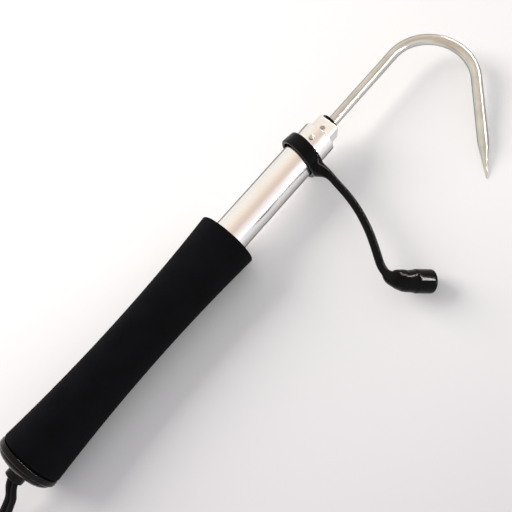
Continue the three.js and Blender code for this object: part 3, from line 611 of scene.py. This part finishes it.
# The lock's pieces are moulded nylon, which has a soft sheen, and its screw is plated steel
moulded_nylon, tree, shader, where = start_material("moulded_black_nylon", Specular_IOR_Level=0.35)
flow = add_node(tree, "ShaderNodeTexNoise", {"Vector": where, "Scale": repeats(2.5), "Detail": 5.0})
tone = add_node(tree, "ShaderNodeValToRGB", {"Fac": flow.outputs["Fac"]},
                stops=((0.3, "#0e0e10"), (0.7, "#1a1a1c")))
tree.links.new(tone.outputs["Color"], shader.inputs["Base Color"])
gloss = add_node(tree, "ShaderNodeMapRange", {"Value": flow.outputs["Fac"], "To Min": 0.42, "To Max": 0.62})
tree.links.new(gloss.outputs["Result"], shader.inputs["Roughness"])
for name in ("middle_lock_plug", "middle_lock_cam", "inner_lock_plug", "inner_lock_cam"):
    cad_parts[name].data.materials.clear()
    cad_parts[name].data.materials.append(moulded_nylon)
for name in ("middle_lock_screw", "inner_lock_screw"):
    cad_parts[name].data.materials.clear()
    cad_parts[name].data.materials.append(zinc_plate)


# Inner section. The smallest tube slides in the middle one on a lock of the same kind, and the
# hook block is pinned in its far end.
INNER_START = 69.6
INNER_END = 206.0
PIN_PLACE = INNER_END - 5.5
PIN_RADIUS = 1.2
PIN_END = 6.2
PIN_END_RADIUS = 0.8
PIN_CHAMFER = 0.3
TO_HOOK = TO_FRAME @ Matrix.Rotation(HOOK_ROLL, 4, "X")


def cut_through(bm, cutters):
    """The mesh with each cutter's mesh taken out of it."""
    for cutter in cutters:
        pieces = []
        for shape in (bm, cutter):
            mesh = bpy.data.meshes.new("cut")
            shape.to_mesh(mesh)
            shape.free()
            pieces.append(bpy.data.objects.new("cut", mesh))
            bpy.context.scene.collection.objects.link(pieces[-1])
        change = pieces[0].modifiers.new("cut", "BOOLEAN")
        change.operation = "DIFFERENCE"
        change.solver = "EXACT"
        change.object = pieces[1]
        result = pieces[0].evaluated_get(bpy.context.evaluated_depsgraph_get())
        bm = bmesh.new()
        bm.from_mesh(result.to_mesh())
        result.to_mesh_clear()
        for piece in pieces:
            bpy.data.meshes.remove(piece.data)
    return bm


def drill(radius, start, end, turn, steps=32):
    """A round cutter along X from start to end, then turned to its place."""
    bm = spin_profile([(start, 0), (start, radius), (end, radius), (end, 0)], steps=steps)
    bmesh.ops.transform(bm, matrix=turn, verts=bm.verts)
    return bm


across_pin = Matrix.Translation((PIN_PLACE, 0, 0)) @ Matrix.Rotation(math.pi / 2, 4, "Z")
bm = spin_profile(tube_outline(INNER_START, INNER_END, INNER_RADIUS, INNER_RADIUS - WALL))
bm = cut_through(bm, [drill(PIN_RADIUS + SEATED_FIT, -OUTER_RADIUS, OUTER_RADIUS, across_pin)])
finish_piece(bm, "inner_tube_skin", satin_tube, "hook_section", ["inner_tube"],
             place=TO_HOOK)
bm = spin_profile([(-PIN_END, 0), (-PIN_END, PIN_END_RADIUS), (PIN_CHAMFER - PIN_END, PIN_RADIUS),
                   (PIN_END - PIN_CHAMFER, PIN_RADIUS), (PIN_END, PIN_END_RADIUS), (PIN_END, 0)], steps=32)
finish_piece(bm, "block_cross_pin", zinc_plate, "hook_section", ["block_pin"],
             place=TO_HOOK @ across_pin)


# Hook block. A square of aluminium on a round spigot, milled with rounded corners and bead
# blasted to a pale satin. It is drilled for the hook's shank, and a small grub screw sits in its
# upper face.
BLOCK_SIDE = 12.2
BLOCK_BACK = MOUTH - 6.5
BLOCK_END = MOUTH + 7.9
BLOCK_CORNER = 1.63
BLOCK_EDGE = 0.45
SHANK_RADIUS = 2.85
BLOCK_BORE = SHANK_RADIUS + SEATED_FIT
SPIGOT_RADIUS = 5.3
SPIGOT_BACK = BLOCK_BACK - 14
GRUB_PLACE = MOUTH + 2.2
GRUB_RADIUS = 1.35
GRUB_FIT = 0.1
GRUB_EDGE = 0.25
GRUB_SOCKET_RADIUS = 0.75
GRUB_SOCKET_DEPTH = 1.2
bead_blasted, tree, shader, where = start_material("bead_blasted_aluminium", Metallic=1.0)
grit = add_node(tree, "ShaderNodeTexNoise", {"Vector": where, "Scale": repeats(0.5), "Detail": 4.0})
cloud = add_node(tree, "ShaderNodeTexNoise", {"Vector": where, "Scale": repeats(7.0), "Detail": 2.0})
tone = add_node(tree, "ShaderNodeValToRGB", {"Fac": cloud.outputs["Fac"]},
                stops=((0.3, "#e3e1e0"), (0.7, "#eae8e7")))
tree.links.new(tone.outputs["Color"], shader.inputs["Base Color"])
gloss = add_node(tree, "ShaderNodeMapRange", {"Value": grit.outputs["Fac"], "To Min": 0.34, "To Max": 0.5})
tree.links.new(gloss.outputs["Result"], shader.inputs["Roughness"])
bump = add_node(tree, "ShaderNodeBump", {"Height": grit.outputs["Fac"], "Strength": 0.12,
                                         "Distance": 0.04 * MM})
tree.links.new(bump.outputs["Normal"], shader.inputs["Normal"])
bm = bmesh.new()
bmesh.ops.create_cube(bm, size=1.0)
bmesh.ops.scale(bm, vec=(BLOCK_END - BLOCK_BACK, BLOCK_SIDE, BLOCK_SIDE), verts=bm.verts)
bmesh.ops.translate(bm, vec=((BLOCK_END + BLOCK_BACK) / 2, 0, 0), verts=bm.verts)
round_edges(bm, BLOCK_CORNER, segments=5,
            among=lambda e: abs(e.verts[0].co.x - e.verts[1].co.x) > BLOCK_SIDE / 2)
round_edges(bm, BLOCK_EDGE, segments=3, sharper_than=60)
up_turn = Matrix.Translation((GRUB_PLACE, 0, 0)) @ Matrix.Rotation(-math.pi / 2, 4, "Y")
bm = cut_through(bm, [drill(BLOCK_BORE, BLOCK_BACK - 1, BLOCK_END + 1, Matrix.Identity(4), 64),
                      drill(GRUB_RADIUS + GRUB_FIT, 0, OUTER_RADIUS, up_turn)])
spigot = spin_profile([(SPIGOT_BACK, BLOCK_BORE), (SPIGOT_BACK, SPIGOT_RADIUS),
                       (BLOCK_BACK, SPIGOT_RADIUS), (BLOCK_BACK, BLOCK_BORE)], steps=64)
spigot_mesh = bpy.data.meshes.new("spigot")
spigot.to_mesh(spigot_mesh)
spigot.free()
bm.from_mesh(spigot_mesh)
finish_piece(bm, "hook_block_body", bead_blasted, "hook_section", ["hook_block"],
             place=TO_HOOK, crease=30)
grub_top = BLOCK_SIDE / 2 - GRUB_EDGE
bm = spin_profile([(BLOCK_BORE, 0), (BLOCK_BORE, GRUB_RADIUS), (grub_top - GRUB_EDGE, GRUB_RADIUS),
                   (grub_top, GRUB_RADIUS - GRUB_EDGE), (grub_top, 0)], steps=32)
bm = cut_through(bm, [drill(GRUB_SOCKET_RADIUS, grub_top - GRUB_SOCKET_DEPTH, grub_top + 1,
                            Matrix.Identity(4), 6)])
finish_piece(bm, "grub_screw_body", zinc_plate, "hook_section", ["grub_screw"],
             place=TO_HOOK @ up_turn, crease=30)


# Hook. Polished stainless rod, bent in one plane round a former and ground to a long point.
# The polish leaves it bright, with a faint cloud, and a near-black specular tint paints shade at its edges.
SHANK_IN_BLOCK = 24.0
SHANK_CHAMFER = 0.3
SHANK_CLEAR = 55.0
BEND_RADIUS = 24.4
BEND_TURN = math.radians(139.5)
BEND_STEPS = 96
LEG_LENGTH = 57.8
POINT_LENGTH = 21.0
POINT_TIP = 0.6
POINT_TAPER = ((1.0, 1), (0.95, 0.985), (0.9, 0.94), (0.6, 0.66), (0.3, 0.37),
               (POINT_TIP / POINT_LENGTH, 0.12), (0.0, 0.05))
ROD_SIDES = 48
# Painted shade: the near-black specular tint darkens the rod's reflections at its edges
polished_stainless, tree, shader, where = start_material("polished_stainless_steel", Metallic=1.0,
                                                         Specular_Tint=linear("#0a0a09"))
lines = add_node(tree, "ShaderNodeTexNoise", {"Vector": where, "Scale": repeats(0.8), "Detail": 4.0})
cloud = add_node(tree, "ShaderNodeTexNoise", {"Vector": where, "Scale": repeats(9.0), "Detail": 3.0})
tone = add_node(tree, "ShaderNodeValToRGB", {"Fac": cloud.outputs["Fac"]},
                stops=((0.3, "#c8c8c3"), (0.7, "#d8d8d3")))
tree.links.new(tone.outputs["Color"], shader.inputs["Base Color"])
gloss = add_node(tree, "ShaderNodeMapRange", {"Value": lines.outputs["Fac"], "To Min": 0.08, "To Max": 0.2})
tree.links.new(gloss.outputs["Result"], shader.inputs["Roughness"])
bump = add_node(tree, "ShaderNodeBump", {"Height": lines.outputs["Fac"], "Strength": 0.05,
                                         "Distance": 0.03 * MM})
tree.links.new(bump.outputs["Normal"], shader.inputs["Normal"])
shank_start, bend_start = BLOCK_END - SHANK_IN_BLOCK, BLOCK_END + SHANK_CLEAR
# Each station is its place along the pole, its distance out, the rod's turn and its share of the radius
stations = [(shank_start, 0, 0, 0.9), (shank_start + SHANK_CHAMFER, 0, 0, 1), (bend_start, 0, 0, 1)]
for step in range(1, BEND_STEPS + 1):
    angle = BEND_TURN * step / BEND_STEPS
    stations.append((bend_start + BEND_RADIUS * math.sin(angle),
                     BEND_RADIUS * (1 - math.cos(angle)), angle, 1))
bend_x, bend_out = stations[-1][:2]
for from_tip, share in POINT_TAPER:
    along = LEG_LENGTH - POINT_LENGTH * from_tip
    stations.append((bend_x + along * math.cos(BEND_TURN), bend_out + along * math.sin(BEND_TURN),
                     BEND_TURN, share))
bm = bmesh.new()
matrices = [section_at(Vector((x, -out, 0)), Vector((math.cos(angle), -math.sin(angle), 0)), share, share)
            for x, out, angle, share in stations]
sweep_ring(bm, circle_edges(bm, SHANK_RADIUS, ROD_SIDES), matrices)
finish_piece(bm, "hook_rod", polished_stainless, "hook_section", ["hook"], place=TO_HOOK)


# Washer. A loose black ring that has ended up askew on the shank, close to the block. It is
# moulded of the same gloss rubber as the point guard.
WASHER_RADIUS = 5.6
WASHER_BORE = 3.36
WASHER_THICKNESS = 0.9
WASHER_CORNER = 0.2
WASHER_AHEAD = 1.35
WASHER_ASIDE = 0.3
WASHER_TILT = math.radians(7)
gloss_rubber = moulded_black("moulded_gloss_rubber", 0.08, 1.0, 0.05, 0.1)
half = WASHER_THICKNESS / 2
bm = spin_profile([(-half, WASHER_BORE), (-half, WASHER_RADIUS), (half, WASHER_RADIUS), (half, WASHER_BORE)],
                  steps=64)
round_edges(bm, WASHER_CORNER, segments=3)
finish_piece(bm, "washer_ring", gloss_rubber, "hook_section", ["hook_washer"],
             place=TO_HOOK @ Matrix.Translation((BLOCK_END + WASHER_AHEAD, WASHER_ASIDE, 0))
             @ Matrix.Rotation(-WASHER_TILT, 4, "Z"))


# Point guard. One glossy rubber moulding: a ring round the outer tube, a bowed strap, and a
# deep cap for the hook's point. The strap flares into the ring and into the cap's heel.
RING_WIDTH = 7.6
RING_BORE = 10.4
RING_RADIUS = 12.5
RING_CORNER = 0.8
RING_PLACE = 199.1
RING_TILT = math.radians(8)
STRAP_WIDTH = 4.2
STRAP_THICKNESS = 3.4
STRAP_SQUARENESS = 0.92
STRAP_ROOT = (8.4, 12.5)
STRAP_ROOT_LENGTH = 11.0
STRAP_HEEL_LENGTH = 10.0
STRAP_STEPS = 110
CAP_HEEL = (170.3, -78.25, -1.4)
CAP_YAW = math.radians(-42.0)
CAP_PITCH = math.radians(27.6)
CAP_LENGTH = 21.5
CAP_MOUTH = 9.6
CAP_RADIUS = 5.85
CAP_NECK = 5.5
CAP_SWELL = 5.1
CAP_HEEL_OUTLINE = [(3.2, 0), (3.5, 4.0), (5.0, 4.9), (7.0, 5.25), (9.1, 5.35)]
CAP_CORNER = 0.9
CAP_BORE = 3.6
CAP_BORE_FLOOR = 5.5
SKIN_VOXEL = 0.25
SKIN_PASSES = 22
strap_route = [(197.4, -11.45, 0.0), (197.7, -18.0, -0.1), (195.9, -25.9, -0.3), (193.6, -34.5, -0.5),
               (190.8, -42.1, -0.6), (187.6, -48.8, -0.8), (184.1, -54.9, -0.9), (180.3, -60.5, -1.0),
               (176.4, -65.8, -1.1), (174.5, -68.4, -1.2), (173.0, -71.0, -1.3), (172.1, -73.6, -1.4)]
heel_route = [(0.0, 2.4, -0.6), (2.5, 0.92, 0.46), (4.5, 0.55, 0.28), (6.5, 0.28, 0.14)]


def add_form(target, source, matrix):
    """Puts one form's mesh into another's, at a place."""
    bmesh.ops.transform(source, matrix=matrix, verts=source.verts)
    mesh = bpy.data.meshes.new("part")
    source.to_mesh(mesh)
    source.free()
    target.from_mesh(mesh)
    bpy.data.meshes.remove(mesh)


def rounded_ring(bm, squareness, segments=32):
    """A ring of edges of half-size 1, between a circle and a square."""
    ring = circle_edges(bm, 1.0, segments)
    for v in {v for edge in ring for v in edge.verts}:
        v.co = Vector([math.copysign(abs(value) ** squareness, value) for value in v.co.xy] + [0])
    return ring


ring_turn = Matrix.Translation((RING_PLACE, 0, 0)) @ Matrix.Rotation(-RING_TILT, 4, "Z")
half = RING_WIDTH / 2
ring_outline = [(-half, RING_BORE)]
ring_outline += quarter_round(RING_CORNER - half, RING_RADIUS - RING_CORNER, RING_CORNER, 180, 90)
ring_outline += quarter_round(half - RING_CORNER, RING_RADIUS - RING_CORNER, RING_CORNER, 90, 0)
ring_outline.append((half, RING_BORE))
guard_bm = bmesh.new()
add_form(guard_bm, spin_profile(ring_outline), ring_turn)

cap_turn = (Matrix.Translation(CAP_HEEL) @ Matrix.Rotation(CAP_YAW, 4, "Z")
            @ Matrix.Rotation(CAP_PITCH, 4, "Y"))
route = [Vector(point) for point in strap_route] + [cap_turn @ Vector(point) for point in heel_route]
places, ways, strap_length = smooth_route(route, STRAP_STEPS)
matrices = []
for i, (place, way) in enumerate(zip(places, ways)):
    travelled = strap_length * i / STRAP_STEPS
    root = max(0.0, 1 - travelled / STRAP_ROOT_LENGTH) ** 2
    heel = math.cos(math.pi / 2 * min(1.0, (strap_length - travelled) / STRAP_HEEL_LENGTH))
    width = STRAP_WIDTH + (STRAP_ROOT[0] - STRAP_WIDTH) * root
    thickness = STRAP_THICKNESS + (STRAP_ROOT[1] - STRAP_THICKNESS) * root
    matrices.append(section_at(place, way, width / 2 + (CAP_SWELL - width / 2) * heel,
                               thickness / 2 + (CAP_SWELL - thickness / 2) * heel))
strap_bm = bmesh.new()
sweep_ring(strap_bm, rounded_ring(strap_bm, STRAP_SQUARENESS), matrices)
add_form(guard_bm, strap_bm, Matrix.Identity(4))

mouth_start = CAP_LENGTH - CAP_MOUTH
cap_outline = CAP_HEEL_OUTLINE + [(mouth_start - 0.9, CAP_NECK), (mouth_start - 0.35, CAP_NECK + 0.05),
                                  (mouth_start, CAP_RADIUS)]
cap_outline += quarter_round(CAP_LENGTH - CAP_CORNER, CAP_RADIUS - CAP_CORNER, CAP_CORNER, 90, 0)
cap_outline.append((CAP_LENGTH, 0))
add_form(guard_bm, spin_profile(cap_outline, steps=72), cap_turn)

# The three are fused into one skin and eased, and then bored for the point and for the tube
solid_mesh = bpy.data.meshes.new("guard_solid")
guard_bm.to_mesh(solid_mesh)
guard_bm.free()
solid = bpy.data.objects.new("guard_solid", solid_mesh)
bpy.context.scene.collection.objects.link(solid)
fuse = solid.modifiers.new("fuse", "REMESH")
fuse.mode = "VOXEL"
fuse.voxel_size = SKIN_VOXEL
ease = solid.modifiers.new("ease", "SMOOTH")
ease.factor = 0.5
ease.iterations = SKIN_PASSES
result = solid.evaluated_get(bpy.context.evaluated_depsgraph_get())
bm = bmesh.new()
bm.from_mesh(result.to_mesh())
result.to_mesh_clear()
bpy.data.meshes.remove(solid_mesh)
bore = spin_profile([(CAP_BORE_FLOOR, 0), (CAP_BORE_FLOOR + CAP_BORE, CAP_BORE),
                     (CAP_LENGTH + 3, CAP_BORE), (CAP_LENGTH + 3, 0)], steps=48)
bmesh.ops.transform(bore, matrix=cap_turn, verts=bore.verts)
bm = cut_through(bm, [bore, drill(RING_BORE, -RING_RADIUS, RING_RADIUS, ring_turn, 96)])
finish_piece(bm, "guard_moulding", gloss_rubber, "guard", ["point_guard"])
